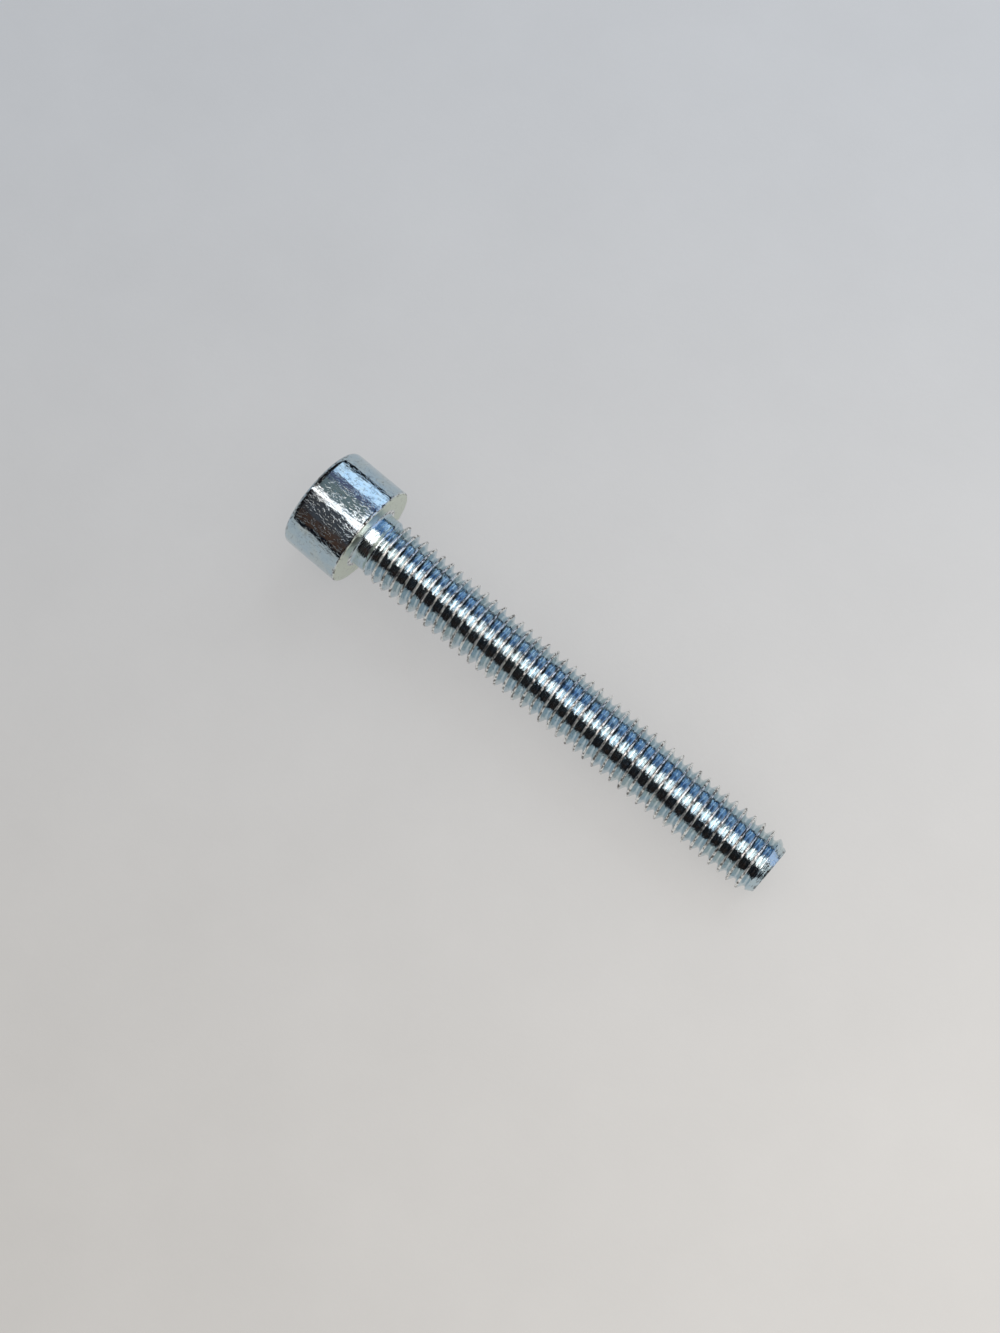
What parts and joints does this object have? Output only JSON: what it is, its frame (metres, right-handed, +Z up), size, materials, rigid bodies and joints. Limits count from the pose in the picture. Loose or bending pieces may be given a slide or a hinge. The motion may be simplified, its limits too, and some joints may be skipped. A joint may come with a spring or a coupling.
{
  "type": "hex socket cap screw",
  "caption": "Cylindrical head with a hexagon socket on a shank threaded up to the head, for clamping parts with a hex key.",
  "frame": {"origin": "centre of the bounding box in plan, on the floor the screw lies on", "axes": "+Z up from the floor; +X in plan from the head towards the tip; the screw's axis dips 2.6 degrees from +X towards the tip"},
  "size_m": [0.0512, 0.0098, 0.0101],
  "materials": {
    "plated_steel": "bright zinc plating with a faint blue passivation, lightly scuffed"
  },
  "bodies": {
    "root": {"cap_screw": "plated_steel"}
  },
  "joints": []
}
